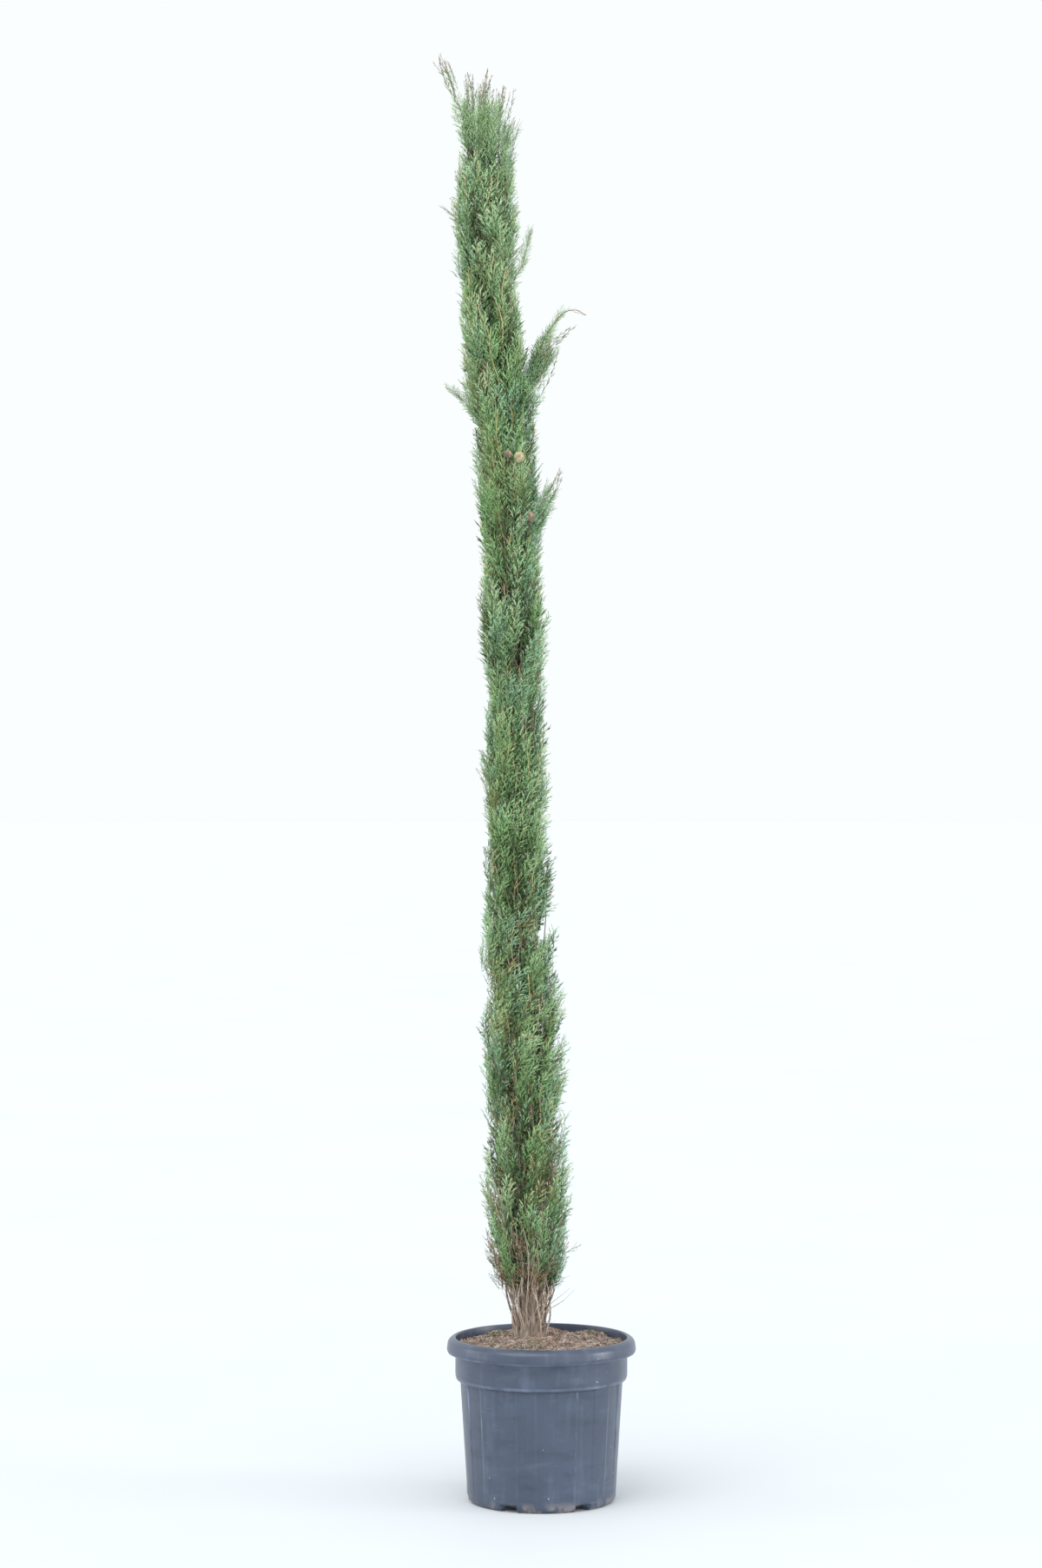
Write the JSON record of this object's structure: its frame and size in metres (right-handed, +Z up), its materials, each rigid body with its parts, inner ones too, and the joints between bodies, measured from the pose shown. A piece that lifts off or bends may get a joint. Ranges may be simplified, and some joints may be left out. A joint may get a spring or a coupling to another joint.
{
  "type": "italian cypress tree",
  "caption": "Tall, slim evergreen tree standing in a round nursery pot: one leaning trunk with a fan of side stems and dense, upright foliage from the soil to the tip.",
  "frame": {"origin": "centre of the pot's flat underside", "axes": "+Z up along the tree, +X to the tree's right, -Y towards its front"},
  "size_m": [0.5054, 0.484, 3.6869],
  "materials": {
    "pot": "satin, lightly scuffed",
    "soil": "rough bark mulch and needle litter",
    "bark": "rough",
    "foliage": "matte"
  },
  "bodies": {
    "root": {"arching_limb": "bark", "foliage_1a": "foliage", "foliage_1b": "foliage", "foliage_1c": "foliage", "foliage_2a": "foliage", "foliage_2b": "foliage", "foliage_2c": "foliage", "foliage_3a": "foliage", "foliage_3b": "foliage", "foliage_3c": "foliage", "foliage_4a": "foliage", "foliage_4b": "foliage", "foliage_4c": "foliage", "foliage_5a": "foliage", "foliage_5b": "foliage", "foliage_5c": "foliage", "foliage_6a": "foliage", "foliage_6b": "foliage", "foliage_6c": "foliage", "foliage_7a": "foliage", "foliage_7b": "foliage", "foliage_7c": "foliage", "foliage_8a": "foliage", "foliage_8b": "foliage", "foliage_8c": "foliage", "plume_right_lower": "foliage", "plume_right_upper": "foliage", "pot": "pot", "soil": "soil", "sprig_left": "foliage", "sprig_right": "foliage", "stem_1": "bark", "stem_10": "bark", "stem_11": "bark", "stem_12": "bark", "stem_2": "bark", "stem_3": "bark", "stem_4": "bark", "stem_5": "bark", "stem_6": "bark", "stem_7": "bark", "stem_8": "bark", "stem_9": "bark", "tip_back": "foliage", "tip_front": "foliage", "tip_leader": "foliage", "tip_left_inner": "foliage", "tip_left_outer": "foliage", "tip_right": "foliage", "tip_right_low": "foliage", "trunk": "bark"}
  },
  "joints": []
}
